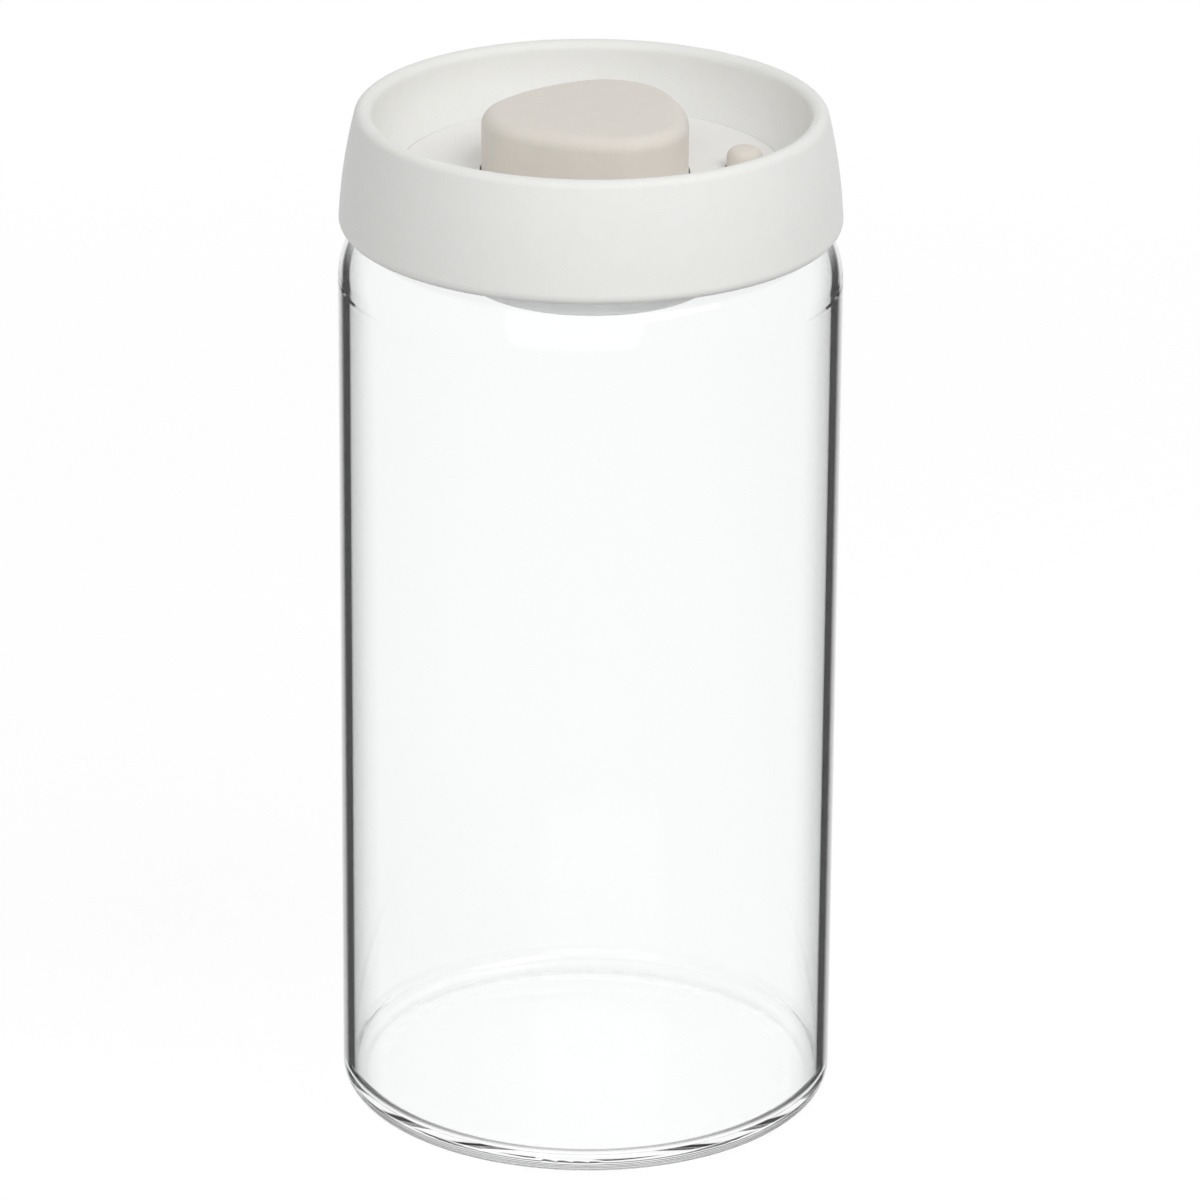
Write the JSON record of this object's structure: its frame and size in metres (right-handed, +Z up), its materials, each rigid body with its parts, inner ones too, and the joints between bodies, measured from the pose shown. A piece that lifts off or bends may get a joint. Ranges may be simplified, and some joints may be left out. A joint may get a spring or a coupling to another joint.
{
  "type": "vacuum seal canister",
  "caption": "Clear glass storage jar with a lift-off lid that holds a push-button vacuum pump and a release valve.",
  "frame": {"origin": "middle of the jar's underside, on the plane that it stands on", "axes": "+Z up along the jar's axis, +X out through the middle of the button's side that is next to the release nub"},
  "size_m": [0.1, 0.1, 0.2085],
  "materials": {
    "clear_glass": "clear, polished",
    "lid_plastic": "fine satin moulding, off-white",
    "inner_plastic": "satin moulding, white",
    "button_plastic": "satin moulding, warm grey",
    "silicone": "milky, soft sheen",
    "steel": "bright wire and screw steel",
    "felt": "fine felt"
  },
  "bodies": {
    "jar": {"glass_jar": "clear_glass"},
    "lid": {"lid_ring": "lid_plastic", "lid_core": "inner_plastic", "well_plate": "lid_plastic", "main_gasket": "silicone", "pump_cylinder": "inner_plastic", "cylinder_gasket": "silicone", "cylinder_screws": "steel", "intake_valve": "silicone", "filter_pad": "felt", "filter_cap": "inner_plastic", "pump_spring": "steel", "release_spring": "steel"},
    "pump": {"pump_button": "button_plastic", "piston": "inner_plastic", "piston_seal": "silicone", "exhaust_valve": "silicone", "piston_screws": "steel"},
    "release": {"release_button": "button_plastic", "release_seal": "silicone", "release_clip": "steel"}
  },
  "joints": [
    {"name": "lid_lift", "type": "slide", "parent": "jar", "child": "lid", "axis": [0, 0, 1], "range_m": [0, 0.1]},
    {"name": "pump_press", "type": "slide", "parent": "lid", "child": "pump", "axis": [0, 0, -1], "range_m": [0, 0.009], "stiffness_N_per_m": 350, "springref_m": -0.012, "deforming": ["pump_spring"]},
    {"name": "release_press", "type": "slide", "parent": "lid", "child": "release", "axis": [0, 0, -1], "range_m": [0, 0.002], "stiffness_N_per_m": 400, "springref_m": -0.004, "deforming": ["release_spring"]}
  ]
}
